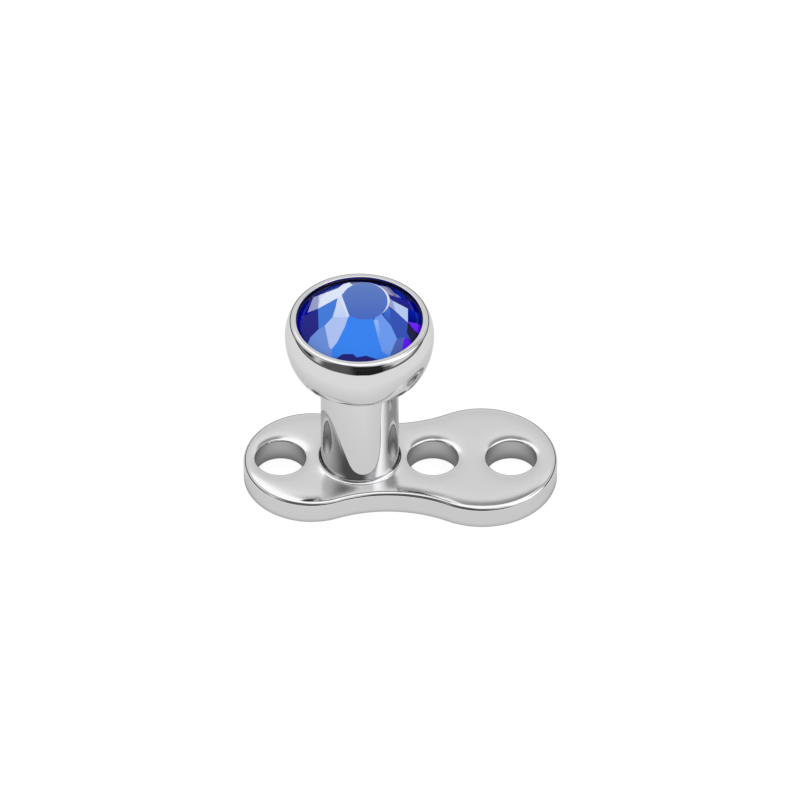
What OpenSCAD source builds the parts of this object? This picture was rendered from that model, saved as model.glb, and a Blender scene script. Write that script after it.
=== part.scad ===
// Dermal anchor: a pierced base plate with an upright post machined from one
// piece, a ball-shaped bezel cup whose stud drops into the post, and a faceted
// flat-back stone under the cup's rolled lip.
// Millimetres, +Z up, origin under the middle of the base plate, +X towards
// the plate's larger end.

/* [Base plate] */
// Length of the plate from end to end
plate_len = 6.44; // [6.41:0.03:6.5]
// Thickness of the plate
plate_thick = 0.50; // [0.4:0.02:0.6]
// Radius of the smaller end, beside the post
small_lobe_r = 1.40; // [1.38:0.01:1.42]
// Radius of the larger end, with two holes
big_lobe_r = 1.55; // [1.47:0.04:1.55]
// Radius of the hollow curve on each side of the waist
waist_r = 2.69; // [2.6:0.09:2.69]
// Rounding along the plate's upper edge
plate_edge_r = 0.06; // [0.03:0.01:0.12]
// Rounding along the plate's lower edge
plate_foot_r = 0.02; // [0.01:0.01:0.08]

/* [Tissue holes] */
// Radius of each hole's straight wall
hole_r = 0.515; // [0.4:0.005:0.53]
// Place of the hole in the smaller end
small_end_hole_x = -2.46; // [-2.52:0.01:-2.4]
// Place of the hole in the middle of the plate
middle_hole_x = 0.665; // [0.64:0.005:0.72]
// Place of the hole in the larger end
big_end_hole_x = 2.27; // [2.2:0.01:2.34]
// Rounding of the holes' rims
hole_edge_r = 0.03; // [0.02:0.01:0.07]

/* [Post] */
// Radius of the post
post_r = 0.80; // [0.7:0.01:0.82]
// Place of the post along the plate
post_x = -0.83; // [-0.85:0.005:-0.81]
// Height of the post's top above the plate's underside
post_top_z = 2.75; // [2.6:0.05:2.85]
// Radius of the fillet at the post's foot
foot_r = 0.09; // [0.05:0.01:0.1]
// Rounding of the post's top edge
post_edge_r = 0.04; // [0.02:0.01:0.08]

/* [Bezel cup] */
// Radius of the cup at its widest
ball_r = 1.52; // [1.5:0.01:1.58]
// Height of the cup's widest line above the plate's underside
ball_z = 3.89; // [3.87:0.01:3.95]
// Radius of the tighter curve above the widest line
shoulder_r = 0.86; // [0.82:0.01:0.92]
// Angle at which that curve turns into the lip
shoulder_turn = 26.5; // [25.5:0.5:28]
// Radius of the cup's widest circle under the ball, where the cone starts
cone_r = 1.345; // [1.3:0.005:1.38]
// Rounding of the lip's outer edge
lip_outer_r = 0.12; // [0.1:0.01:0.13]
// Rounding of the lip's inner edge
lip_inner_r = 0.025; // [0.015:0.005:0.03]
// Radius of the opening inside the lip
lip_open_r = 1.265; // [1.22:0.005:1.28]

/* [Stud] */
// Radius of the stud under the cup
stud_r = 0.45; // [0.35:0.01:0.5]
// Length of the stud below the cup
stud_len = 1.40; // [1:0.05:1.6]
// Play between the stud and the wall of its bore
stud_play = 0.03; // [0.02:0.01:0.05]

/* [Stone] */
// Radius of the stone's girdle
girdle_r = 1.33; // [1.3:0.005:1.34]
// Height of the stone's table above the plate's underside
table_z = 4.775; // [4.7:0.005:4.85]
// Distance from the stone's axis to the table's edges
table_r = 0.48; // [0.42:0.01:0.55]
// Height of the girdle's upper edge above the plate's underside
girdle_z = 4.17; // [4.14:0.005:4.18]
// Depth of the stone below the girdle's upper edge
stone_depth = 0.37; // [0.3:0.01:0.4]
// Main facets round the table
main_facets = 6; // [6:1:8]
// Slope of the small facets between the main ones
break_slope = 46; // [44:1:50]
// Turn of the stone, so that one main facet faces the front
stone_turn = 268; // [0:1:359]

/* [Hidden] */
$fn = 96;

steel = "silver";
sapphire = "royalblue";

// Play between pieces that are set together
set_play = 0.02;
// Height of the lip's underside above the girdle, and its rise to the opening
under_lip_play = 0.06;
under_lip_rise = 0.05;
// The ball below the widest line is this much smaller, so that its curve
// crosses the shoulder's curve at a slight angle
ball_cut = 0.003;
// Depth below the widest line to which the shoulder laps over the ball
shoulder_lap = 0.25;
// Length by which a cutter runs past what it cuts
past = 0.5;
// Part of a rounding's radius by which its arc is cut short, so that it meets
// the face beside it at a slight angle
arc_cut = 0.1;

small_lobe_x = small_lobe_r - plate_len / 2;
big_lobe_x = plate_len / 2 - big_lobe_r;

// The waist curve touches both ends: its centre is as far from each end's
// centre as the two radii together
small_reach = small_lobe_r + waist_r;
big_reach = big_lobe_r + waist_r;
lobe_gap = big_lobe_x - small_lobe_x;
waist_dx = (small_reach * small_reach - big_reach * big_reach + lobe_gap * lobe_gap) / (2 * lobe_gap);
waist_x = small_lobe_x + waist_dx;
waist_y = sqrt(small_reach * small_reach - waist_dx * waist_dx);
small_turn = atan2(waist_y, waist_dx);
big_turn = atan2(waist_y, waist_x - big_lobe_x);

cup_floor_z = post_top_z + set_play;
low_ball_r = ball_r - ball_cut;
lip_axis_r = ball_r - shoulder_r + (shoulder_r - lip_outer_r) * cos(shoulder_turn);
lip_z = ball_z + (shoulder_r - lip_outer_r) * sin(shoulder_turn);
inner_edge_r = lip_open_r + lip_inner_r;
inner_edge_z = lip_z + lip_outer_r - lip_inner_r;
cone_top_z = ball_z - sqrt(low_ball_r * low_ball_r - cone_r * cone_r);
cone_foot_r = cone_r - (cone_top_z - cup_floor_z);
seat_z = girdle_z - stone_depth - set_play;
seat_r = girdle_r + set_play;
stud_foot_z = cup_floor_z - stud_len;

// Slope of the main facets: from the table's edge to the girdle
main_slope = atan((table_z - girdle_z) / (girdle_r - table_r));

// Outer half of the plate's section, from the axis of an end to its edge
module lobe_section(radius) {
    square([radius - plate_edge_r, plate_thick]);
    square([radius - plate_foot_r, plate_thick / 2]);
    translate([0, plate_foot_r]) square([radius, plate_thick - plate_edge_r - plate_foot_r]);
    translate([radius - plate_edge_r, plate_thick - plate_edge_r]) circle(plate_edge_r);
    translate([radius - plate_foot_r, plate_foot_r]) circle(plate_foot_r);
}

// One end of the plate, without the slice that the waist takes
module lobe(x, radius, from_turn, to_turn) {
    translate([x, 0, 0]) rotate([0, 0, from_turn])
        rotate_extrude(angle = to_turn - from_turn) lobe_section(radius);
}

// The plate's section beside the waist's centre: it starts at the waist's curve
module waist_section() {
    translate([waist_r + plate_edge_r, 0]) square([small_reach, plate_thick]);
    translate([waist_r + plate_foot_r, 0]) square([small_reach, plate_thick / 2]);
    translate([waist_r, plate_foot_r]) square([small_reach, plate_thick - plate_edge_r - plate_foot_r]);
    translate([waist_r + plate_edge_r, plate_thick - plate_edge_r]) circle(plate_edge_r);
    translate([waist_r + plate_foot_r, plate_foot_r]) circle(plate_foot_r);
}

// Half of the waist: the slice between the two ends' centres, seen from the
// centre of the hollow curve at +Y, and cut off at the plate's middle line
module waist_half() {
    slice_from = 180 + small_turn;
    slice_to = 180 + big_turn;
    intersection() {
        translate([waist_x, waist_y, 0]) rotate([0, 0, slice_from])
            rotate_extrude(angle = slice_to - slice_from) waist_section();
        translate([-plate_len, 0, -past]) cube([2 * plate_len, plate_len, plate_thick + 2 * past]);
    }
}

// What a hole's rounded rim takes away at the plate's upper face
module rim_flare() {
    rim_z = plate_thick - hole_edge_r * (1 - arc_cut);
    difference() {
        translate([0, rim_z]) square([hole_r + hole_edge_r, past]);
        translate([hole_r + hole_edge_r, rim_z]) circle(hole_edge_r);
    }
}

// Cutter for one hole, with a rounded rim at each face of the plate
module hole_cutter(x) {
    translate([x, 0, 0]) rotate_extrude() {
        translate([0, -past]) square([hole_r, plate_thick + 2 * past]);
        rim_flare();
        translate([0, plate_thick]) mirror([0, 1]) rim_flare();
    }
}

// Plate and post's section: the post rises out of the plate with a fillet
module post_section() {
    foot_z = plate_thick + foot_r * (1 - arc_cut);
    square([post_r, post_top_z - post_edge_r]);
    square([post_r - post_edge_r, post_top_z]);
    translate([post_r - post_edge_r, post_top_z - post_edge_r]) circle(post_edge_r);
    difference() {
        square([post_r + foot_r, foot_z]);
        translate([post_r + foot_r, foot_z]) circle(foot_r);
    }
}

// Plate and post are machined from one piece, with a blind bore for the stud
module anchor_base() {
    color(steel)
        difference() {
            union() {
                lobe(small_lobe_x, small_lobe_r, small_turn, 360 - small_turn);
                lobe(big_lobe_x, big_lobe_r, -big_turn, big_turn);
                waist_half();
                mirror([0, 1, 0]) waist_half();
                translate([post_x, 0, plate_thick / 2]) rotate_extrude()
                    translate([0, -plate_thick / 2])
                        intersection() {
                            post_section();
                            translate([0, plate_thick / 2]) square([ball_r, post_top_z]);
                        }
            }
            hole_cutter(small_end_hole_x);
            hole_cutter(middle_hole_x);
            hole_cutter(big_end_hole_x);
            translate([post_x, 0, stud_foot_z - set_play])
                cylinder(r = stud_r + stud_play, h = stud_len + past);
        }
}

// Outer shape of the cup: cone below, ball to the widest line, then the
// shoulder's tighter curve and the rolled lip
module cup_outline() {
    intersection() {
        translate([0, ball_z]) circle(low_ball_r);
        // the cone's slope, run on to the widest line
        polygon([
            [0, cup_floor_z],
            [cone_foot_r, cup_floor_z],
            [cone_foot_r + ball_z - cup_floor_z, ball_z],
            [0, ball_z]
        ]);
    }
    shoulder_foot_z = ball_z - shoulder_lap;
    intersection() {
        union() {
            translate([ball_r - shoulder_r, ball_z]) circle(shoulder_r);
            translate([0, shoulder_foot_z]) square([ball_r - shoulder_r, shoulder_r + past]);
        }
        // everything inside the line where the shoulder turns into the lip
        polygon([
            [0, shoulder_foot_z],
            [ball_r + past, shoulder_foot_z],
            [lip_axis_r + 2 * shoulder_r * cos(shoulder_turn), lip_z + 2 * shoulder_r * sin(shoulder_turn)],
            [lip_axis_r, lip_z],
            [0, lip_z]
        ]);
    }
    lip_foot_z = lip_z - past / 2;
    translate([lip_axis_r, lip_z]) circle(lip_outer_r);
    translate([inner_edge_r, inner_edge_z]) circle(lip_inner_r);
    translate([inner_edge_r, lip_foot_z])
        square([lip_axis_r - inner_edge_r, inner_edge_z + lip_inner_r - lip_foot_z]);
    translate([0, lip_foot_z]) square([inner_edge_r, inner_edge_z - lip_foot_z]);
}

// Hollow of the cup: the stone's seat, which undercuts the lip, and the
// opening inside the lip
module cup_hollow() {
    under_lip_z = girdle_z + under_lip_play;
    polygon([
        [0, seat_z],
        [seat_r, seat_z],
        [seat_r, under_lip_z],
        [lip_open_r, under_lip_z + under_lip_rise],
        [lip_open_r, inner_edge_z],
        [0, inner_edge_z]
    ]);
}

// Cup, lip and stud are one piece
module bezel_cup() {
    color(steel)
        translate([post_x, 0, 0])
            rotate_extrude()
                difference() {
                    union() {
                        cup_outline();
                        translate([0, stud_foot_z]) square([stud_r, stud_len + past]);
                    }
                    cup_hollow();
                }
}

// Everything on the inner side of a plane that leans over the stone's axis:
// it is distance r from the axis at height z, faces turn, and slopes
module under_facet(turn, r, z, slope) {
    size = 4 * girdle_r;
    rotate([0, 0, turn]) translate([r, 0, z]) rotate([0, slope, 0])
        translate([-size / 2, -size / 2, -size]) cube(size);
}

// Faceted stone: flat back, round girdle, main facets round the table, and
// small ones that break the corners between them
module stone() {
    step = 360 / main_facets;
    back_z = girdle_z - stone_depth;
    color(sapphire)
        translate([post_x, 0, 0]) rotate([0, 0, stone_turn])
            intersection() {
                translate([0, 0, back_z]) cylinder(r = girdle_r, h = table_z - back_z);
                under_main_facets(step);
                under_break_facets(step);
            }
}

// The space under all main facets
module under_main_facets(step) {
    intersection_for(i = [0:main_facets - 1])
        under_facet(i * step, table_r, table_z, main_slope);
}

// The space under all small facets
module under_break_facets(step) {
    intersection_for(i = [0:main_facets - 1])
        under_facet((i + 0.5) * step, girdle_r, girdle_z, break_slope);
}

anchor_base();
bezel_cup();
stone();
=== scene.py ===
import math

import bpy
import numpy as np
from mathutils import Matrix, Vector
from mathutils.geometry import delaunay_2d_cdt


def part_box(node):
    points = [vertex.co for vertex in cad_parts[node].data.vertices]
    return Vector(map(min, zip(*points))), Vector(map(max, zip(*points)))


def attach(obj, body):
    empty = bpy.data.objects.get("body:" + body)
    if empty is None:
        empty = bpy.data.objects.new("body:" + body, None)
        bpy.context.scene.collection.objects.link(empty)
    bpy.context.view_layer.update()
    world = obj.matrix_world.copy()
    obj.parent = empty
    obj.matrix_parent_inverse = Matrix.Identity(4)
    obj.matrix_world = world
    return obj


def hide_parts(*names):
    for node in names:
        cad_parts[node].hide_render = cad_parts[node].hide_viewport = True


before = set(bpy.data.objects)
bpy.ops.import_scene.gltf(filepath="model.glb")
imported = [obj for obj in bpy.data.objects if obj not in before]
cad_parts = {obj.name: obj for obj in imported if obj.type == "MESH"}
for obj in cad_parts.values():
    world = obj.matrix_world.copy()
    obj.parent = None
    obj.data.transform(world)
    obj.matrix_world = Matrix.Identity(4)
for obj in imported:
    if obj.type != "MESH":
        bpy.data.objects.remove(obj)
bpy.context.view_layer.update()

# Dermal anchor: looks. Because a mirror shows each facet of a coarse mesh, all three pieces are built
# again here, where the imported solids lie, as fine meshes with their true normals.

MM = 0.001
BODY = "root"

# Sizes in millimetres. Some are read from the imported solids, and the rest is as in the part's source,
# apart from a few roundings, the turn into the lip and its opening, which follow the photo more closely.

base_low, base_high = (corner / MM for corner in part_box("anchor_base"))
cup_low, cup_high = (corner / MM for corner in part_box("bezel_cup"))
stone_low, stone_high = (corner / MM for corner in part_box("stone"))

PLATE_LEN = base_high.x - base_low.x
PLATE_THICK = 0.50
SMALL_LOBE_R = 1.40
BIG_LOBE_R = 1.55
WAIST_R = 2.69
PLATE_EDGE_R = 0.08
PLATE_FOOT_R = 0.02
HOLE_R = 0.515
HOLE_XS = (-2.46, 0.665, 2.27)
HOLE_EDGE_R = 0.03
HOLE_FOOT_R = 0.02
# Polishing leaves the plate thickest in its middle: rise there, and depth and reach of the fall to
# the outline and to each hole
PLATE_CROWN = 0.036
OUTLINE_FALL = (0.036, 0.13)
HOLE_FALL = (0.026, 0.11)
# It swells towards the post's foot: negative fall, and reach
FOOT_FALL = (-0.009, 0.10)
# Width over which the plate's upper face turns from the edges' sharp polish to its own haze
HAZE_START = 0.10
# Haze of the drilled walls, next to 1 on the upper face
WALL_HAZE = 3

POST_X = (cup_low.x + cup_high.x) / 2
POST_R = 0.80
POST_TOP_Z = base_high.z
FOOT_R = 0.085
POST_EDGE_R = 0.04
BORE_R = 0.48
SET_PLAY = 0.02
# Round rims of the plate's upper face: place along the plate, and radius
FOOT_RIM_R = POST_R + FOOT_R
ROUND_RIMS = [(x, HOLE_R + HOLE_EDGE_R) for x in HOLE_XS] + [(POST_X, FOOT_RIM_R)]

BALL_R = (cup_high.x - cup_low.x) / 2
BALL_Z = 3.89
SHOULDER_R = 0.86
SHOULDER_TURN = math.radians(27.5)
CONE_R = 1.345
LIP_OUTER_R = 0.08
LIP_INNER_R = 0.02
LIP_OPEN_R = 1.28
UNDER_LIP_PLAY = 0.06
UNDER_LIP_RISE = 0.05
STUD_R = 0.45
STUD_FOOT_Z = cup_low.z
# Length that each corner's rounding takes from the two lines that meet there
CUP_FOOT_ROUNDING = 0.03
OPENING_ROUNDING = 0.005
UNDER_LIP_ROUNDING = 0.01
SEAT_ROUNDING = 0.02

GIRDLE_R = (stone_high.x - stone_low.x) / 2
GIRDLE_Z = 4.17
TABLE_Z = stone_high.z
STONE_BACK_Z = stone_low.z

# How fine the meshes are: steps in millimetres, steps round corners, sides of round parts, turns
OUTLINE_STEP = 0.03
GRID_STEP = 0.04
GRID_CLEARANCE = 0.015
EDGE_STEPS = 8
CORNER_STEPS = 6
POST_SIDES = 180
CUP_SIDES = 256
STONE_SIDES = 180
TABLE_POINTS = 64
BALL_STEP = math.radians(1.5)
LIP_STEP = math.radians(4)
LIP_INNER_STEP = math.radians(10)

# Points nearer than this to a wall or an axis lie on it
CLOSE = 1e-6
# The least length that something is divided by
TINY = 1e-9
# Cutting into triangles: the kind that fills the whole hull, and the distances under which corners merge
FILL_HULL = 0
PLATE_MERGE = 1e-9
STONE_MERGE = 1e-5


class Skin:
    """Points with their true normals, and the faces between them."""

    def __init__(self):
        self.points = []
        self.normals = []
        self.faces = []
        self.count = 0

    def add(self, points, normals):
        """Adds points and returns their indices."""
        self.points.append(np.asarray(points, float))
        self.normals.append(np.asarray(normals, float))
        first = self.count
        self.count += len(points)
        return list(range(first, self.count))

    def bridge(self, lower, upper):
        """Quads between two closed rings that run the same way round."""
        for i in range(len(lower)):
            j = (i + 1) % len(lower)
            self.faces.append((lower[i], lower[j], upper[j], upper[i]))

    def fan(self, ring, centre, flip=False):
        """Triangles from a ring to a point on its axis."""
        for i in range(len(ring)):
            a, b = ring[i], ring[(i + 1) % len(ring)]
            self.faces.append((b, a, centre) if flip else (a, b, centre))

    def to_object(self, name):
        """Makes the mesh object, in metres, smooth, with the true normals."""
        points = np.concatenate(self.points) * MM
        normals = np.concatenate(self.normals)
        normals /= np.linalg.norm(normals, axis=1)[:, None]
        mesh = bpy.data.meshes.new(name)
        mesh.from_pydata([tuple(point) for point in points], [], self.faces)
        mesh.validate()
        mesh.shade_smooth()
        mesh.normals_split_custom_set_from_vertices([tuple(normal) for normal in normals])
        thing = bpy.data.objects.new(name, mesh)
        bpy.context.scene.collection.objects.link(thing)
        return thing


# The plate's outline

SMALL_X = SMALL_LOBE_R - PLATE_LEN / 2
BIG_X = PLATE_LEN / 2 - BIG_LOBE_R
SMALL_REACH = SMALL_LOBE_R + WAIST_R
BIG_REACH = BIG_LOBE_R + WAIST_R
LOBE_GAP = BIG_X - SMALL_X
WAIST_DX = (SMALL_REACH ** 2 - BIG_REACH ** 2 + LOBE_GAP ** 2) / (2 * LOBE_GAP)
WAIST_X = SMALL_X + WAIST_DX
WAIST_Y = math.sqrt(SMALL_REACH ** 2 - WAIST_DX ** 2)
SMALL_TURN = math.atan2(WAIST_Y, WAIST_DX)
BIG_TURN = math.atan2(WAIST_Y, WAIST_X - BIG_X)


def arc_with_normals(centre, radius, start, end, step, side):
    """Points along an arc without its last one, and the normals that point out of the plate."""
    count = max(2, round(abs(end - start) * radius / step))
    turns = np.linspace(start, end, count, endpoint=False)
    out = np.stack([np.cos(turns), np.sin(turns)], 1)
    return np.array(centre) + radius * out, side * out


def plate_outline():
    """The outline of both ends and both waist curves, counter-clockwise from above."""
    step = OUTLINE_STEP
    arcs = [
        arc_with_normals((SMALL_X, 0), SMALL_LOBE_R, SMALL_TURN, 2 * math.pi - SMALL_TURN, step, 1),
        arc_with_normals((WAIST_X, -WAIST_Y), WAIST_R, math.pi - SMALL_TURN, math.pi - BIG_TURN, step, -1),
        arc_with_normals((BIG_X, 0), BIG_LOBE_R, -BIG_TURN, BIG_TURN, step, 1),
        arc_with_normals((WAIST_X, WAIST_Y), WAIST_R, BIG_TURN - math.pi, SMALL_TURN - math.pi, step, -1),
    ]
    points, normals = zip(*arcs)
    return np.concatenate(points), np.concatenate(normals)


def hole_outline(x):
    """A hole's circle, clockwise from above, with normals that point into the hole."""
    return arc_with_normals((x, 0), HOLE_R, 2 * math.pi, 0, OUTLINE_STEP, -1)


def outline_depth(xy):
    """Distance of points from the plate's outline, and the direction in which it grows."""
    x, y = xy[:, 0], np.abs(xy[:, 1])
    small = np.stack([x - SMALL_X, y], 1)
    big = np.stack([x - BIG_X, y], 1)
    waist = np.stack([x - WAIST_X, y - WAIST_Y], 1)
    far = [np.maximum(np.linalg.norm(away, axis=1), TINY) for away in (small, big, waist)]
    left_of = WAIST_DX * y - WAIST_Y * (x - SMALL_X) > 0
    right_of = (WAIST_X - BIG_X) * y - WAIST_Y * (x - BIG_X) < 0
    depth = np.where(
        left_of, SMALL_LOBE_R - far[0],
        np.where(right_of, BIG_LOBE_R - far[1], far[2] - WAIST_R))
    grow = np.where(
        left_of[:, None], -small / far[0][:, None],
        np.where(right_of[:, None], -big / far[1][:, None], waist / far[2][:, None]))
    grow[:, 1] *= np.sign(xy[:, 1])
    return depth, grow


def round_depth(xy, x, radius):
    """Distance of points from a circle on the plate's long axis, and the direction in which it grows."""
    away = xy - np.array([x, 0])
    far = np.maximum(np.linalg.norm(away, axis=1), TINY)
    return far - radius, away / far[:, None]


def hole_depth(xy, x):
    """Distance of points from a hole's wall, and the direction in which it grows."""
    return round_depth(xy, x, HOLE_R)


def eased(share):
    """A share from 0 to 1 with a smooth start and a smooth end."""
    return share * share * (3 - 2 * share)


def plate_haze(points):
    """How hazy the plate is: 1 on its upper face, less towards the sharp edges, and most in the holes."""
    xy = points[:, :2]
    clear = outline_depth(xy)[0] - PLATE_EDGE_R
    for x, radius in ROUND_RIMS:
        clear = np.minimum(clear, round_depth(xy, x, radius)[0])
    haze = eased(np.clip(clear / HAZE_START, 0, 1)) * (points[:, 2] > PLATE_THICK / 2)
    for x in HOLE_XS:
        haze[np.abs(hole_depth(xy, x)[0]) < CLOSE] = WALL_HAZE
    return haze


def top_surface(xy):
    """Height of the plate's upper face, which falls softly to its edges, and that height's slope."""
    height = np.full(len(xy), PLATE_THICK + PLATE_CROWN)
    slope = np.zeros((len(xy), 2))
    edges = [(outline_depth(xy), OUTLINE_FALL)]
    edges += [(hole_depth(xy, x), HOLE_FALL) for x in HOLE_XS]
    edges.append((round_depth(xy, POST_X, FOOT_RIM_R), FOOT_FALL))
    for (depth, grow), (fall, reach) in edges:
        part = fall * np.exp(-np.maximum(depth, 0) / reach)
        height -= part
        slope += (part / reach)[:, None] * grow
    return height, slope


def inside(points, loop):
    """Which points lie inside a closed loop, by the even-odd rule."""
    result = np.zeros(len(points), bool)
    x, y = points[:, 0], points[:, 1]
    ends = np.roll(loop, -1, axis=0)
    for (ax, ay), (bx, by) in zip(loop, ends):
        if ay == by:
            continue
        crosses = (ay > y) != (by > y)
        result ^= crosses & (x < (bx - ax) * (y - ay) / (by - ay) + ax)
    return result


def loop_edges(loops):
    """Pairs of indices along closed loops, whose points stand one loop after the other in a list."""
    edges = []
    first = 0
    for loop in loops:
        edges += [(first + i, first + (i + 1) % len(loop)) for i in range(len(loop))]
        first += len(loop)
    return edges


def fill_between(loops, free_points):
    """Triangles inside the first loop and outside the others. Indices run through the loops first."""
    points = np.concatenate(loops + [free_points]) if len(free_points) else np.concatenate(loops)
    corners, _, faces, sources, *_ = delaunay_2d_cdt(
        [Vector(point) for point in points], loop_edges(loops), [], FILL_HULL, PLATE_MERGE, True)
    triangles = np.array([face for face in faces if len(face) == 3])
    middles = np.array([tuple(corner) for corner in corners])[triangles].mean(axis=1)
    keep = inside(middles, loops[0])
    for loop in loops[1:]:
        keep &= ~inside(middles, loop)
    return [tuple(sources[i][0] for i in triangle) for triangle in triangles[keep]]


def grid_points():
    """A triangular grid over the plate that keeps clear of its edges and of the post."""
    step = GRID_STEP
    row_step = step * math.sqrt(3) / 2
    rows = int(BIG_LOBE_R / row_step) + 1
    columns = int(PLATE_LEN / 2 / step) + 1
    points = np.array([
        ((column + 0.5 * (row % 2)) * step, row * row_step)
        for row in range(-rows, rows + 1) for column in range(-columns, columns + 1)])
    keep = outline_depth(points)[0] > PLATE_EDGE_R + GRID_CLEARANCE
    for x, radius in ROUND_RIMS:
        keep &= round_depth(points, x, radius)[0] > GRID_CLEARANCE
    return points[keep]


def edge_rings(skin, outline, normals, radius, foot_radius):
    """One wall of the plate with its rounded edges. Returns the rings where it meets both faces."""
    rings = []
    turns = np.linspace(0, math.pi / 2, EDGE_STEPS + 1)
    for turn in turns:
        xy = outline - normals * radius * (1 - math.sin(turn))
        height, slope = top_surface(xy)
        z = height - radius * (1 - math.cos(turn))
        side = normals * math.sin(turn) - slope * math.cos(turn)
        points = np.column_stack([xy, z])
        rings.append(skin.add(points, np.column_stack([side, np.full(len(xy), math.cos(turn))])))
    for turn in turns[::-1]:
        xy = outline - normals * foot_radius * (1 - math.sin(turn))
        z = np.full(len(xy), foot_radius * (1 - math.cos(turn)))
        side = normals * math.sin(turn)
        points = np.column_stack([xy, z])
        rings.append(skin.add(points, np.column_stack([side, np.full(len(xy), -math.cos(turn))])))
    for upper, lower in zip(rings, rings[1:]):
        skin.bridge(lower, upper)
    return rings[0], rings[-1]


# Turned profiles: lists of (radius, height) with the way along them

def line_piece(start, end):
    """A straight stretch of a profile."""
    way = np.array(end, float) - np.array(start, float)
    way /= np.linalg.norm(way)
    return [(np.array(start, float), way), (np.array(end, float), way)]


def arc_piece(centre, radius, start, end, step):
    """A round stretch of a profile."""
    count = max(3, math.ceil(abs(end - start) / step) + 1)
    spin = 1 if end > start else -1
    piece = []
    for turn in np.linspace(start, end, count):
        out = np.array([math.cos(turn), math.sin(turn)])
        piece.append((np.array(centre, float) + radius * out, spin * np.array([-out[1], out[0]])))
    return piece


def trimmed(piece, length, at_end):
    """A piece less some length at its end or its start, so that a corner can be rounded there."""
    points = list(piece) if at_end else list(reversed(piece))
    left = length
    while len(points) > 2 and np.linalg.norm(points[-1][0] - points[-2][0]) <= left:
        left -= np.linalg.norm(points[-1][0] - points[-2][0])
        points.pop()
    (inner, inner_way), (end, end_way) = points[-2:]
    share = left / np.linalg.norm(end - inner)
    way = end_way + (inner_way - end_way) * share
    points[-1] = (end + (inner - end) * share, way / np.linalg.norm(way))
    return points if at_end else list(reversed(points))


def join_pieces(pieces):
    """Joins the pieces of a profile. Each corner has a rounding, or None where the two run smoothly on."""
    profile = list(pieces[0])
    for rounding, piece in zip(pieces[1::2], pieces[2::2]):
        if rounding is None:
            profile += piece[1:]
            continue
        corner = piece[0][0]
        profile = trimmed(profile, rounding, True)
        piece = trimmed(piece, rounding, False)
        start, end = profile[-1][0], piece[0][0]
        for share in np.linspace(0, 1, CORNER_STEPS + 1)[1:-1]:
            point = (1 - share) ** 2 * start + 2 * share * (1 - share) * corner + share ** 2 * end
            way = (1 - share) * (corner - start) + share * (end - corner)
            profile.append((point, way / np.linalg.norm(way)))
        profile += piece
    return profile


def all_round(count):
    """Level directions, evenly spread round an upright axis."""
    turns = np.linspace(0, 2 * math.pi, count, endpoint=False)
    return np.stack([np.cos(turns), np.sin(turns)], 1)


def turn_profile(skin, profile, count, first_ring=None):
    """Turns a profile round the post's axis. The side to the right of its way is the outside."""
    out = all_round(count)
    last = first_ring
    for (radius, z), (way_r, way_z) in profile:
        if radius < CLOSE:
            end = skin.add([(POST_X, 0, z)], [(0, 0, -way_r)])[0]
            if last is not None:
                skin.fan(last, end)
            last = end
            continue
        points = np.column_stack([POST_X + radius * out[:, 0], radius * out[:, 1], np.full(count, z)])
        normals = np.column_stack([way_z * out, np.full(count, -way_r)])
        ring = skin.add(points, normals)
        if isinstance(last, int):
            skin.fan(ring, last, flip=True)
        elif last is not None:
            skin.bridge(last, ring)
        last = ring


# Plate and post

def foot_rings(skin):
    """The fillet at the post's foot. Its lowest ring lies in the plate's upper face."""
    out = all_round(POST_SIDES)
    foot_z = PLATE_THICK + PLATE_CROWN
    rings = []
    for turn in np.linspace(0, math.pi / 2, EDGE_STEPS + 1):
        radius = POST_R + FOOT_R * (1 - math.sin(turn))
        xy = np.array([POST_X, 0]) + radius * out
        height, slope = top_surface(xy)
        z = foot_z + FOOT_R * (1 - math.cos(turn)) + (height - foot_z) * math.cos(turn)
        side = out * math.sin(turn) - slope * math.cos(turn)
        points = np.column_stack([xy, z])
        rings.append(skin.add(points, np.column_stack([side, np.full(POST_SIDES, math.cos(turn))])))
    for lower, upper in zip(rings, rings[1:]):
        skin.bridge(lower, upper)
    return rings[0], rings[-1]


def add_plate_faces(skin, upper_loops, lower_loops):
    """The plate's crowned upper face, over a fine grid, and its flat underside."""
    points = np.concatenate(skin.points)[:, :2]
    grid = grid_points()
    height, slope = top_surface(grid)
    inner = skin.add(np.column_stack([grid, height]), np.column_stack([-slope, np.ones(len(grid))]))
    numbers = sum(upper_loops, []) + inner
    for triangle in fill_between([points[loop] for loop in upper_loops], grid):
        skin.faces.append(tuple(numbers[i] for i in triangle))
    numbers = sum(lower_loops, [])
    for a, b, c in fill_between([points[loop] for loop in lower_loops], []):
        skin.faces.append((numbers[c], numbers[b], numbers[a]))


def post_profile():
    """The post's wall above its fillet, its end face and its blind bore."""
    wall_foot = (POST_R, PLATE_THICK + PLATE_CROWN + FOOT_R)
    wall_top = (POST_R, POST_TOP_Z)
    bore_foot_z = STUD_FOOT_Z - SET_PLAY
    return join_pieces([
        line_piece(wall_foot, wall_top), POST_EDGE_R,
        line_piece(wall_top, (BORE_R, POST_TOP_Z)), POST_EDGE_R,
        line_piece((BORE_R, POST_TOP_Z), (BORE_R, bore_foot_z)), POST_EDGE_R,
        line_piece((BORE_R, bore_foot_z), (0, bore_foot_z))])


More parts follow.
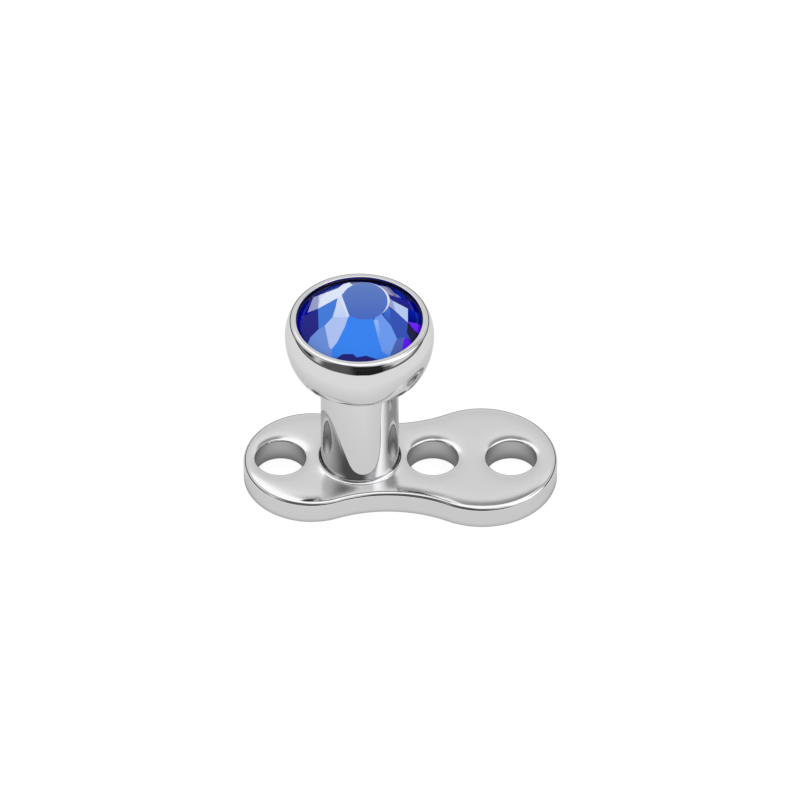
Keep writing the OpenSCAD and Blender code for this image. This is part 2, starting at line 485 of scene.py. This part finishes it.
def build_base():
    """Plate and post, which are machined from one piece."""
    skin = Skin()
    walls = [(*plate_outline(), PLATE_EDGE_R, PLATE_FOOT_R)]
    walls += [(*hole_outline(x), HOLE_EDGE_R, HOLE_FOOT_R) for x in HOLE_XS]
    rings = [edge_rings(skin, *wall) for wall in walls]
    foot, wall_foot = foot_rings(skin)
    add_plate_faces(skin, [upper for upper, _ in rings] + [foot], [lower for _, lower in rings])
    turn_profile(skin, post_profile()[1:], POST_SIDES, first_ring=wall_foot)
    base = skin.to_object("base_plate_and_post")
    haze = plate_haze(np.concatenate(skin.points))
    base.data.attributes.new("haze", "FLOAT", "POINT").data.foreach_set("value", haze)
    return base


# Cup

def build_cup():
    """The ball-shaped cup with its rolled lip, the stone's seat and the stud."""
    floor_z = POST_TOP_Z + SET_PLAY
    lip_axis_r = BALL_R - SHOULDER_R + (SHOULDER_R - LIP_OUTER_R) * math.cos(SHOULDER_TURN)
    lip_z = BALL_Z + (SHOULDER_R - LIP_OUTER_R) * math.sin(SHOULDER_TURN)
    cone_top_z = BALL_Z - math.sqrt(BALL_R ** 2 - CONE_R ** 2)
    cone_foot_r = CONE_R - (cone_top_z - floor_z)
    seat_z = STONE_BACK_Z - SET_PLAY
    seat_r = GIRDLE_R + SET_PLAY
    under_lip_z = GIRDLE_Z + UNDER_LIP_PLAY
    opening_z = under_lip_z + UNDER_LIP_RISE
    lip_top_z = lip_z + LIP_OUTER_R
    inner_edge = (LIP_OPEN_R + LIP_INNER_R, lip_top_z - LIP_INNER_R)
    ball_start = math.atan2(cone_top_z - BALL_Z, CONE_R)
    quarter = math.pi / 2
    profile = join_pieces([
        line_piece((0, STUD_FOOT_Z), (STUD_R, STUD_FOOT_Z)), CUP_FOOT_ROUNDING,
        line_piece((STUD_R, STUD_FOOT_Z), (STUD_R, floor_z)), CUP_FOOT_ROUNDING,
        line_piece((STUD_R, floor_z), (cone_foot_r, floor_z)), CUP_FOOT_ROUNDING,
        line_piece((cone_foot_r, floor_z), (CONE_R, cone_top_z)), CUP_FOOT_ROUNDING,
        arc_piece((0, BALL_Z), BALL_R, ball_start, 0, BALL_STEP), None,
        arc_piece((BALL_R - SHOULDER_R, BALL_Z), SHOULDER_R, 0, SHOULDER_TURN, BALL_STEP), None,
        arc_piece((lip_axis_r, lip_z), LIP_OUTER_R, SHOULDER_TURN, quarter, LIP_STEP), None,
        line_piece((lip_axis_r, lip_top_z), (inner_edge[0], lip_top_z)), None,
        arc_piece(inner_edge, LIP_INNER_R, quarter, 2 * quarter, LIP_INNER_STEP), None,
        line_piece((LIP_OPEN_R, inner_edge[1]), (LIP_OPEN_R, opening_z)), OPENING_ROUNDING,
        line_piece((LIP_OPEN_R, opening_z), (seat_r, under_lip_z)), UNDER_LIP_ROUNDING,
        line_piece((seat_r, under_lip_z), (seat_r, seat_z)), SEAT_ROUNDING,
        line_piece((seat_r, seat_z), (0, seat_z))])
    skin = Skin()
    turn_profile(skin, profile, CUP_SIDES)
    return skin.to_object("bezel_cup_and_stud")


# Stone

# Colours that the facets throw back, as the eye sees them under the studio's light: the stone's blue with
# reflections and glints painted in
WHITE = (216, 226, 249)
PALE_BLUE = (190, 209, 246)
PALE_LILAC = (160, 168, 212)
LILAC = (176, 196, 245)
SKY = (148, 185, 247)
ICE_BLUE = (112, 156, 240)
AZURE = (62, 133, 242)
CORNFLOWER = (70, 124, 218)
STEEL_BLUE = (110, 145, 219)
SLATE_BLUE = (76, 106, 192)
HAZE_BLUE = (98, 127, 193)
INDIGO = (62, 88, 184)
DUSK = (40, 46, 138)
NAVY = (20, 30, 128)
ROYAL = (34, 56, 182)
ULTRAMARINE = (24, 26, 170)
INK = (5, 12, 78)
PLUM = (84, 106, 184)
VIOLET = (112, 14, 255)
PURPLE_NAVY = (12, 4, 120)
DEEP_BLUE = (22, 30, 130)
# Painted shade: the back of the stone's rim in the lip's shade
LIP_SHADE_GREY = (74, 74, 92)
# The studio's light on the stone, and the part of it that the gloss throws back over each colour
STUDIO_LIGHT = 1.12
GLOSS_VEIL = 0.023

# Beyond this radius the stone lies in the lip's shade, which is painted into the rim's colours
RIM_R = 1.262
# The dark facets along the girdle: how many, where the first begins, and their colours in turn
RIM_FACETS = 12
STONE_TURN = math.radians(268)
RIM_FRONTS = (NAVY, DUSK, ULTRAMARINE)
RIM_BACKS = (ULTRAMARINE, NAVY, DUSK)
# The table's rounded outline in plan: middle and half sizes, and where its straight left edge cuts it
TABLE_MIDDLE = np.array([0.10, 0.04])
TABLE_HALF = np.array([0.47, 0.56])
TABLE_CUT = (math.radians(-131), math.radians(164))
# The painted gleam, a white highlight along the table's back right edge, is its outline moved by this much
PAINTED_GLEAM_SHIFT = np.array([0.045, 0.05])

# Facets with the reflections and glints inside them painted in: colours at the front and at the back end,
# and corners in plan (right, back). A later row lies over an earlier one, and what passes the girdle is cut
# off there.
GEM_PATCHES = [
    (AZURE, AZURE, [
        (-0.15, -0.30), (-0.22, -0.40), (-0.29, -0.58), (-0.44, -0.82), (-0.57, -0.94), (-0.52, -1.40),
        (0.50, -1.40), (0.46, -1.00), (0.37, -0.76), (0.29, -0.51), (0.25, -0.30)]),
    (PURPLE_NAVY, NAVY, [
        (-0.55, -1.14), (-0.33, -1.06), (-0.13, -1.08), (-0.05, -1.14), (0.14, -1.11), (0.43, -1.16),
        (0.45, -1.40), (-0.60, -1.40)]),
    (LILAC, LILAC, [
        (-0.48, -0.07), (-0.22, -0.40), (-0.29, -0.58), (-0.44, -0.82), (-0.56, -0.93), (-0.61, -0.87),
        (-0.70, -0.40), (-0.54, -0.28)]),
    (PALE_BLUE, WHITE, [
        (-0.54, -0.28), (-0.48, -0.07), (-0.44, 0.20), (-0.36, 0.26), (-0.20, -0.40), (-0.24, -0.42)]),
    (WHITE, WHITE, [(-0.42, 0.20), (-0.36, 0.26), (-0.20, -0.40), (-0.23, -0.42), (-0.36, -0.02)]),
    (CORNFLOWER, CORNFLOWER, [
        (-0.44, 0.20), (-0.48, -0.07), (-0.54, -0.28), (-0.70, -0.40), (-0.82, -0.42), (-0.84, 0.15)]),
    (STEEL_BLUE, STEEL_BLUE, [
        (-0.82, -0.42), (-0.70, -0.40), (-0.61, -0.87), (-0.56, -0.93), (-0.54, -1.40), (-1.20, -0.80),
        (-1.03, -0.62), (-0.99, -0.53)]),
    (DEEP_BLUE, DUSK, [
        (-0.84, 0.15), (-0.82, -0.42), (-0.99, -0.53), (-1.14, -0.32), (-1.16, -0.06), (-1.14, 0.12)]),
    (WHITE, WHITE, [
        (-0.84, 0.15), (-0.44, 0.20), (-0.36, 0.26), (0.0, 0.50), (-0.13, 0.58), (-0.21, 1.11),
        (-0.33, 0.99), (-0.43, 0.70), (-0.82, 0.71)]),
    (PALE_LILAC, PALE_LILAC, [(-0.93, 0.72), (-0.82, 0.71), (-0.84, 0.15), (-1.05, 0.18)]),
    (LILAC, LILAC, [(-0.13, 0.50), (-0.21, 1.11), (0.02, 0.85), (0.22, 0.71), (0.22, 0.50)]),
    (WHITE, WHITE, [
        (0.22, 0.50), (0.22, 0.71), (0.37, 0.66), (0.47, 0.45), (0.55, 0.26), (0.58, 0.17), (0.50, 0.10)]),
    (PALE_LILAC, PALE_LILAC, [(0.50, 0.10), (0.57, 0.19), (0.67, 0.15), (0.73, -0.11), (0.58, -0.07)]),
    (PALE_BLUE, PALE_BLUE, [(0.67, 0.15), (0.98, 0.19), (0.98, -0.22), (0.73, -0.11)]),
    (NAVY, ROYAL, [(0.98, 0.19), (1.30, 0.28), (1.40, -0.05), (1.13, -0.14), (0.98, -0.20)]),
    (VIOLET, VIOLET, [(0.98, -0.20), (1.13, -0.12), (1.40, -0.05), (1.35, -0.40), (1.09, -0.30)]),
    (INDIGO, INDIGO, [
        (0.58, -0.07), (0.73, -0.11), (0.98, -0.22), (1.17, -0.35), (1.30, -0.60), (0.92, -0.58),
        (0.76, -0.69), (0.64, -0.49), (0.62, -0.17)]),
    (INK, INK, [
        (0.98, -0.22), (1.17, -0.35), (1.40, -0.50), (1.30, -0.70), (1.07, -0.62), (0.96, -0.47)]),
    (VIOLET, VIOLET, [
        (0.92, -0.58), (1.07, -0.64), (1.25, -0.75), (0.95, -1.05), (0.86, -0.92), (0.88, -0.74)]),
    (PLUM, PLUM, [
        (0.76, -0.69), (0.92, -0.58), (0.88, -0.74), (0.86, -0.92), (0.90, -1.10), (0.62, -1.25),
        (0.61, -1.05)]),
    (ICE_BLUE, ICE_BLUE, [
        (0.29, -0.51), (0.40, -0.30), (0.54, -0.42), (0.64, -0.49), (0.76, -0.69), (0.61, -1.05),
        (0.46, -1.00), (0.37, -0.76)]),
    (ICE_BLUE, SKY, [(0.29, -0.51), (0.38, -0.48), (0.41, -0.65), (0.40, -0.84), (0.37, -0.76)]),
    (INDIGO, CORNFLOWER, [
        (0.50, 0.0), (0.58, -0.07), (0.62, -0.17), (0.64, -0.49), (0.54, -0.42), (0.45, -0.30)]),
    (AZURE, AZURE, [(0.46, -1.00), (0.61, -1.05), (0.62, -1.25), (0.50, -1.30)]),
    (ROYAL, ROYAL, [(0.70, 0.95), (0.84, 0.93), (0.94, 0.53), (0.76, 0.44)]),
    (INDIGO, DUSK, [(-0.82, 0.75), (-0.43, 0.74), (-0.33, 1.03), (-0.50, 1.05)]),
]


def crown_height(xy):
    """Height of the crown over points in plan: level over the table, then down to the girdle."""
    away = xy - TABLE_MIDDLE
    table_reach = np.linalg.norm(away / TABLE_HALF, axis=1)
    length = np.maximum(np.linalg.norm(away, axis=1), TINY)
    out = away / length[:, None]
    along = out @ TABLE_MIDDLE
    girdle_far = -along + np.sqrt(along ** 2 + GIRDLE_R ** 2 - TABLE_MIDDLE @ TABLE_MIDDLE)
    table_far = length / np.maximum(table_reach, TINY)
    share = np.clip((length - table_far) / (girdle_far - table_far), 0, 1)
    return TABLE_Z - (TABLE_Z - GIRDLE_Z) * share


def table_outline():
    """The table's outline in plan."""
    turns = np.linspace(*TABLE_CUT, TABLE_POINTS)
    return TABLE_MIDDLE + TABLE_HALF * np.stack([np.cos(turns), np.sin(turns)], 1)


def rim_patches():
    """Dark facets all round the girdle, which the other patches lie over."""
    step = 2 * math.pi / RIM_FACETS
    past_girdle = 2
    patches = []
    for i in range(RIM_FACETS):
        turns = [STONE_TURN + (i + side) * step for side in (0, 1)]
        ends = [(past_girdle * math.cos(turn), past_girdle * math.sin(turn)) for turn in turns]
        patches.append((RIM_FRONTS[i % 3], RIM_BACKS[i % 3], [(0.0, 0.0)] + ends))
    return patches


def linear(colour):
    """An sRGB colour in linear light, less the veil of gloss that lies over it."""
    light = [((c / 255 + 0.055) / 1.055) ** 2.4 if c > 10 else c / 255 / 12.92 for c in colour]
    return np.maximum(np.array(light) - GLOSS_VEIL, 0) / STUDIO_LIGHT


def crown_patches(girdle):
    """All patches of the crown. The last one's outside is the rim in the lip's shade, painted in dark
    colours.
    """
    patches = [(front, back, np.array(loop)) for front, back, loop in rim_patches() + GEM_PATCHES]
    # Painted highlight: a white copy of the table's outline, moved back and right, shows as a gleam past
    # the table
    patches.append((WHITE, WHITE, table_outline() + PAINTED_GLEAM_SHIFT))
    patches.append((SLATE_BLUE, HAZE_BLUE, table_outline()))
    # Painted shade of the lip over the rim: purple navy at the front, grey at the back
    patches.append((PURPLE_NAVY, LIP_SHADE_GREY, girdle * RIM_R / GIRDLE_R))
    return patches


def cut_plan(patches, girdle):
    """Cuts the stone's plan along all outlines: corners, triangles, and which patch each triangle shows."""
    loops = [girdle] + [loop for _, _, loop in patches]
    points = [Vector(point) for point in np.concatenate(loops)]
    corners, _, faces, *_ = delaunay_2d_cdt(
        points, loop_edges(loops), [], FILL_HULL, STONE_MERGE, False)
    plan = np.array([tuple(corner) for corner in corners])
    triangles = np.array([face for face in faces if len(face) == 3])
    middles = plan[triangles].mean(axis=1)
    whole = inside(middles, girdle)
    triangles, middles = triangles[whole], middles[whole]
    owner = np.zeros(len(middles), int)
    for number, (_, _, loop) in enumerate(patches[:-1]):
        owner[inside(middles, loop)] = number
    owner[~inside(middles, patches[-1][2])] = len(patches) - 1
    return plan, triangles, owner


def add_crown(skin, girdle):
    """Adds the crown, each patch flat in its shading. Returns the colours of its points."""
    colours = []
    patches = crown_patches(girdle)
    plan, triangles, owner = cut_plan(patches, girdle)
    solid = np.column_stack([plan, crown_height(plan)])
    a, b, c = (solid[triangles[:, corner]] for corner in range(3))
    facing = np.cross(b - a, c - a)
    for number, (front, back, _) in enumerate(patches):
        own = triangles[owner == number]
        if not len(own):
            continue
        normal = facing[owner == number].sum(axis=0)
        used, places = np.unique(own, return_inverse=True)
        depths = plan[used, 1]
        shares = (depths - depths.min()) / (depths.max() - depths.min())
        numbers = skin.add(solid[used] + (POST_X, 0, 0), np.tile(normal, (len(used), 1)))
        colours += [linear(front) * (1 - share) + linear(back) * share for share in shares]
        skin.faces += [tuple(numbers[i] for i in triangle) for triangle in places.reshape(-1, 3)]
    return colours


def add_girdle_and_back(skin, girdle):
    """Adds the upright girdle and the flat back. Returns the colours of their points."""
    count = len(girdle)
    upper_points = np.column_stack([girdle + (POST_X, 0), np.full(count, GIRDLE_Z)])
    lower_points = np.column_stack([girdle + (POST_X, 0), np.full(count, STONE_BACK_Z)])
    outward = np.column_stack([girdle, np.zeros(count)])
    upper = skin.add(upper_points, outward)
    lower = skin.add(lower_points, outward)
    skin.bridge(lower, upper)
    back = skin.add(lower_points, np.tile((0, 0, -1), (count, 1)))
    skin.faces.append(tuple(reversed(back)))
    return [linear(NAVY)] * (3 * count)


def build_stone():
    """The stone's crown of coloured facets, with reflections and glints painted into their colours, on a
    round girdle, flat at the back.
    """
    girdle = GIRDLE_R * all_round(STONE_SIDES)
    skin = Skin()
    colours = add_crown(skin, girdle) + add_girdle_and_back(skin, girdle)
    stone = skin.to_object("cut_stone")
    layer = stone.data.attributes.new("facet_colour_and_painted_light", "FLOAT_COLOR", "POINT")
    layer.data.foreach_set("color", [part for colour in colours for part in (*colour, 1)])
    return stone


# Materials

METAL_GREY = 0.64
BASE_ROUGHNESS = 0.045
BASE_HAZE_ROUGHNESS = 0.09
CUP_ROUGHNESS = 0.035


def new_material(name):
    """A node material and its Principled shader."""
    material = bpy.data.materials.new(name)
    material.use_nodes = True
    return material, material.node_tree.nodes["Principled BSDF"]


def polished_metal(name, grey, roughness, haze_roughness=0):
    """Mirror-polished metal with a faint uneven haze, which is stronger where the mesh says so."""
    material, shader = new_material(name)
    nodes, links = material.node_tree.nodes, material.node_tree.links
    shader.inputs["Base Color"].default_value = (grey, grey, grey * 1.01, 1)
    shader.inputs["Metallic"].default_value = 1
    shader.inputs["Specular Tint"].default_value = (0.8, 0.8, 0.8, 1)
    place = nodes.new("ShaderNodeTexCoord")
    haze = nodes.new("ShaderNodeTexNoise")
    haze.inputs["Scale"].default_value = 900
    haze.inputs["Detail"].default_value = 3
    links.new(place.outputs["Object"], haze.inputs["Vector"])
    spread = nodes.new("ShaderNodeMapRange")
    spread.inputs["From Min"].default_value = 0.3
    spread.inputs["From Max"].default_value = 0.7
    spread.inputs["To Min"].default_value = roughness * 0.8
    spread.inputs["To Max"].default_value = roughness * 1.3
    links.new(haze.outputs["Fac"], spread.inputs["Value"])
    marked = nodes.new("ShaderNodeAttribute")
    marked.attribute_name = "haze"
    more = nodes.new("ShaderNodeMath")
    more.operation = "MULTIPLY_ADD"
    more.inputs[1].default_value = haze_roughness
    links.new(marked.outputs["Fac"], more.inputs[0])
    links.new(spread.outputs["Result"], more.inputs[2])
    links.new(more.outputs["Value"], shader.inputs["Roughness"])
    return material


def foil_gem_with_painted_light(name):
    """Crystal over blue foil, drawn opaque: each facet has its own colour, with the reflections and glints
    painted in, under a bright gloss.
    """
    material, shader = new_material(name)
    nodes, links = material.node_tree.nodes, material.node_tree.links
    colour = nodes.new("ShaderNodeAttribute")
    # The stone's blue with its reflections and glints painted in, facet by facet
    colour.attribute_name = "facet_colour_and_painted_light"
    links.new(colour.outputs["Color"], shader.inputs["Base Color"])
    shader.inputs["Roughness"].default_value = 0.02
    shader.inputs["IOR"].default_value = 1.33
    shader.inputs["Specular IOR Level"].default_value = 0.3
    return material


# Studio

# The floor: half its width, and how far it lies under the plate
FLOOR_HALF = 600
FLOOR_DROP = 0.002

# Cards show only in reflections. Azimuths are degrees from the front, to the right, and elevations are
# degrees above the floor. A fade is the stretch over which a card turns clear at its rim.

# Columns and rows of each kind of card
WALL_GRID = (160, 60)
PANEL_GRID = (60, 48)
SHADE_GRID = (160, 80)

# Walls: name, radius, azimuth, half width in degrees, fades to the left and right, height of the foot
# and its rise for each degree to the sides, top, fade above it, strength
WALLS = [
    ("dark_front", 18, 11, 16, (16, 10), (0.66, 0.042), 5.0, 1.2, 0.02),
    ("grey_front", 19, -5, 42, (16, 14), (0.68, 0.042), 5.0, 1.2, 0.13),
    ("dark_horizon", 30, 0, 180, (0, 0), (0, 0), 1.5, 2.5, 0.15),
]
WALL_FOOT_FADE = 0.2

# Panels: name, azimuth, elevation, half width and height in degrees, fades to the left, to the right,
# below and above, strength. Each one stands behind the one before it, the first at PANEL_RADIUS.
PANELS = [
    ("dark_front_far", 11, 8, (16, 9), (16, 10, 2, 3), 0.02),
    ("grey_front_far", -11, 8, (38, 9), (14, 22, 2, 3), 0.13),
    ("grey_front_low", -14, 26, (20, 9), (28, 22, 8, 12), 0.14),
    ("dark_front_left", -27, 42, (7, 4), (86, 24, 3, 14), 0.08),
    ("side_light", 53, 44, (3, 12), (12, 36, 10, 10), 2.2),
    ("side_light_low", 80, 24, (11, 8), (16, 8, 8, 8), 2.0),
    ("grey_right", 112, 42, (16, 6), (16, 16, 8, 8), 0.6),
    ("grey_back", 166.5, 55.5, (17, 3.4), (12, 3, 4, 2.5), 0.40),
    ("back_left_light", 206.5, 54.5, (18, 8), (3.5, 10, 3, 10), 1.5),
    ("dark_rim", 190, 4, (95, 11), (20, 15, 3, 6), 0.03),
]
PANEL_RADIUS = 80

# Painted shadows on the floor, grey cards in place of the plate's shade: name, reach beyond the plate,
# strength, height
FLOOR_SHADES = [
    ("floor_shade_far", 4.0, 0.9, -0.0015),
    ("floor_shade_near", 0.12, 0.22, -0.001),
]
# How far inside the plate's outline a painted shadow begins to fade
SHADE_INSET = 0.1
# How much of a painted shadow goes under the middle of a hole, and over which stretch
HOLE_LIGHT = 0.6
HOLE_LIGHT_REACH = 0.4

# The sky: elevation in degrees and light there
SKY_STEPS = [(30, 0.93), (36, 0.86), (42.4, 0.95), (46.5, 1.1), (53, 1.25), (60, 1.5)]
SKY_TOP = max(light for _, light in SKY_STEPS)

# The photograph's view: 42 degrees above the floor, from far off with a long lens
CAMERA_TILT = math.radians(42.36)
CAMERA_DISTANCE = 200.5
CAMERA_LIFT = 1.557
CAMERA_ASIDE = -0.0075
SENSOR_WIDTH = 36
LENS = 439.3


def floor_material():
    """A white floor that is lit from inside, so that it casts back light and takes only faint shadows."""
    material, shader = new_material("studio_floor")
    shader.inputs["Base Color"].default_value = (0.15, 0.15, 0.15, 1)
    shader.inputs["Roughness"].default_value = 1
    shader.inputs["Specular IOR Level"].default_value = 0
    shader.inputs["Emission Color"].default_value = (1, 1, 1, 1)
    shader.inputs["Emission Strength"].default_value = 0.9
    return material


def build_floor():
    """A plain pale floor."""
    half = FLOOR_HALF * MM
    corners = [(-half, -half, 0), (half, -half, 0), (half, half, 0), (-half, half, 0)]
    mesh = bpy.data.meshes.new("studio_floor")
    mesh.from_pydata(corners, [], [(0, 1, 2, 3)])
    floor = bpy.data.objects.new("studio_floor", mesh)
    floor.location.z = -FLOOR_DROP * MM
    mesh.materials.append(floor_material())
    bpy.context.scene.collection.objects.link(floor)


def card_material(name, strength):
    """Even light or dark where the card is whole, clear towards its rim."""
    material = bpy.data.materials.new(name)
    material.use_nodes = True
    nodes, links = material.node_tree.nodes, material.node_tree.links
    nodes.clear()
    cover = nodes.new("ShaderNodeAttribute")
    cover.attribute_name = "cover"
    clear = nodes.new("ShaderNodeBsdfTransparent")
    light = nodes.new("ShaderNodeEmission")
    light.inputs["Strength"].default_value = strength
    mix = nodes.new("ShaderNodeMixShader")
    output = nodes.new("ShaderNodeOutputMaterial")
    links.new(cover.outputs["Fac"], mix.inputs["Fac"])
    links.new(clear.outputs["BSDF"], mix.inputs[1])
    links.new(light.outputs["Emission"], mix.inputs[2])
    links.new(mix.outputs["Shader"], output.inputs["Surface"])
    return material


def smooth_step(value, low, high):
    """0 below low, 1 above high, and a smooth rise between them."""
    return eased(min(1, max(0, (value - low) / (high - low))))


def build_card(name, place, cover, grid, strength):
    """A card that shows only in reflections. place and cover take shares across and up."""
    columns, rows = grid
    points, covers, faces = [], [], []
    for row in range(rows + 1):
        for column in range(columns + 1):
            across, up = column / columns, row / rows
            points.append(tuple(Vector(place(across, up)) * MM))
            covers.append(cover(across, up))
    for row in range(rows):
        for column in range(columns):
            a = row * (columns + 1) + column
            faces.append((a, a + 1, a + columns + 2, a + columns + 1))
    mesh = bpy.data.meshes.new(name)
    mesh.from_pydata(points, [], faces)
    mesh.attributes.new("cover", "FLOAT", "POINT").data.foreach_set("value", covers)
    mesh.materials.append(card_material(name, strength))
    card = bpy.data.objects.new(name, mesh)
    card.visible_camera = False
    card.visible_diffuse = False
    card.visible_shadow = False
    bpy.context.scene.collection.objects.link(card)


def build_wall(name, radius, azimuth, half_width, fades, foot, top, fade_top, strength):
    """A card that stands on the floor and bends round the object. Its foot rises to its sides."""
    left, right = fades
    full_top = top + fade_top
    foot_z, foot_rise = foot

    def turn_at(across):
        return across * (2 * half_width + left + right) - half_width - left

    def place(across, up):
        turn = math.radians(azimuth - 90 + turn_at(across))
        return radius * math.cos(turn), radius * math.sin(turn), full_top * up

    def cover(across, up):
        aside = turn_at(across)
        fade = left if aside < 0 else right
        side = smooth_step(abs(aside), half_width, half_width + fade) if fade else 0
        low = foot_z + foot_rise * abs(aside)
        z = full_top * up
        above_foot = smooth_step(z, low - WALL_FOOT_FADE, low + WALL_FOOT_FADE) if foot_z else 1
        return (1 - side) * above_foot * (1 - smooth_step(z, top, full_top))

    build_card(name, place, cover, WALL_GRID, strength)


def build_panel(name, radius, azimuth, elevation, half_sizes, fades, strength):
    """A soft panel far off, with its place and sizes in degrees."""
    half_width, half_height = half_sizes
    left, right, below, above = fades

    def turns(across, up):
        return (across * (2 * half_width + left + right) - half_width - left,
                up * (2 * half_height + below + above) - half_height - below)

    def place(across, up):
        aside, rise = turns(across, up)
        turn, rise = math.radians(azimuth - 90 + aside), math.radians(elevation + rise)
        level = radius * math.cos(rise)
        return level * math.cos(turn), level * math.sin(turn), radius * math.sin(rise)

    def cover(across, up):
        aside, rise = turns(across, up)
        side = smooth_step(abs(aside), half_width, half_width + (left if aside < 0 else right))
        height = smooth_step(abs(rise), half_height, half_height + (below if rise < 0 else above))
        return (1 - side) * (1 - height)

    build_card(name, place, cover, PANEL_GRID, strength)


def build_floor_shade(name, reach, strength, z):
    """A painted shadow: a grey card for the shade that the plate casts on the floor under and beside it, as
    its own metal sees it.
    """
    half_x = PLATE_LEN / 2 + reach
    half_y = BIG_LOBE_R + reach

    def place(across, up):
        return half_x * (2 * across - 1), half_y * (2 * up - 1), z

    def cover(across, up):
        xy = np.array([place(across, up)[:2]])
        depth = outline_depth(xy)[0][0]
        in_hole = max(-hole_depth(xy, hole_x)[0][0] for hole_x in HOLE_XS)
        lit = HOLE_LIGHT * smooth_step(in_hole, 0, HOLE_LIGHT_REACH)
        return (1 - smooth_step(-depth, -SHADE_INSET, reach)) * (1 - lit)

    build_card(name, place, cover, SHADE_GRID, strength)


def build_world():
    """Soft white light from all round, stronger from above."""
    world = bpy.data.worlds.new("studio")
    bpy.context.scene.world = world
    world.use_nodes = True
    nodes, links = world.node_tree.nodes, world.node_tree.links
    sky = nodes["Background"]
    place = nodes.new("ShaderNodeTexCoord")
    split = nodes.new("ShaderNodeSeparateXYZ")
    levels = nodes.new("ShaderNodeValToRGB")
    ramp = levels.color_ramp
    ramp.interpolation = "EASE"
    # A new ramp has two steps already
    for number, (elevation, light) in enumerate(SKY_STEPS):
        step = ramp.elements[number] if number < 2 else ramp.elements.new(1)
        step.position = math.sin(math.radians(elevation))
        step.color = (light / SKY_TOP, light / SKY_TOP, light / SKY_TOP, 1)
    links.new(place.outputs["Generated"], split.inputs["Vector"])
    links.new(split.outputs["Z"], levels.inputs["Fac"])
    links.new(levels.outputs["Color"], sky.inputs["Color"])
    sky.inputs["Strength"].default_value = SKY_TOP


def build_camera():
    """The camera, level from left to right, at the photograph's tilt."""
    forward = Vector((0, math.cos(CAMERA_TILT), -math.sin(CAMERA_TILT)))
    up = Vector((0, math.sin(CAMERA_TILT), math.cos(CAMERA_TILT)))
    aside = Vector((CAMERA_ASIDE, 0, 0))
    data = bpy.data.cameras.new("camera")
    data.sensor_width = SENSOR_WIDTH
    data.lens = LENS
    data.clip_start = 0.01
    data.clip_end = 10
    camera = bpy.data.objects.new("camera", data)
    camera.location = (aside - forward * CAMERA_DISTANCE + up * CAMERA_LIFT) * MM
    camera.rotation_euler = (math.pi / 2 - CAMERA_TILT, 0, 0)
    bpy.context.scene.collection.objects.link(camera)
    bpy.context.scene.camera = camera


# The pieces, and their materials, which the solids that they replace carry too

base = build_base()
cup = build_cup()
stone = build_stone()
metal = polished_metal("polished_titanium", METAL_GREY, BASE_ROUGHNESS, BASE_HAZE_ROUGHNESS)
cup_metal = polished_metal("polished_cup", METAL_GREY, CUP_ROUGHNESS)
glass = foil_gem_with_painted_light("blue_stone")
for piece, node, slot, material in (
        (base, "anchor_base", "polished_titanium", metal),
        (cup, "bezel_cup", "polished_cup", cup_metal),
        (stone, "stone", "blue_stone", glass)):
    piece.data.materials.append(material)
    cad_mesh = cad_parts[node].data
    cad_mesh.materials.clear()
    cad_mesh.materials.append(material)
    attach(piece, BODY)
    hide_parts(node)

build_floor()
for shade in FLOOR_SHADES:
    build_floor_shade(*shade)
for wall in WALLS:
    build_wall(*wall)
for number, (name, *panel) in enumerate(PANELS):
    build_panel(name, PANEL_RADIUS + number, *panel)
build_world()
build_camera()
bpy.context.scene.view_settings.view_transform = "Standard"
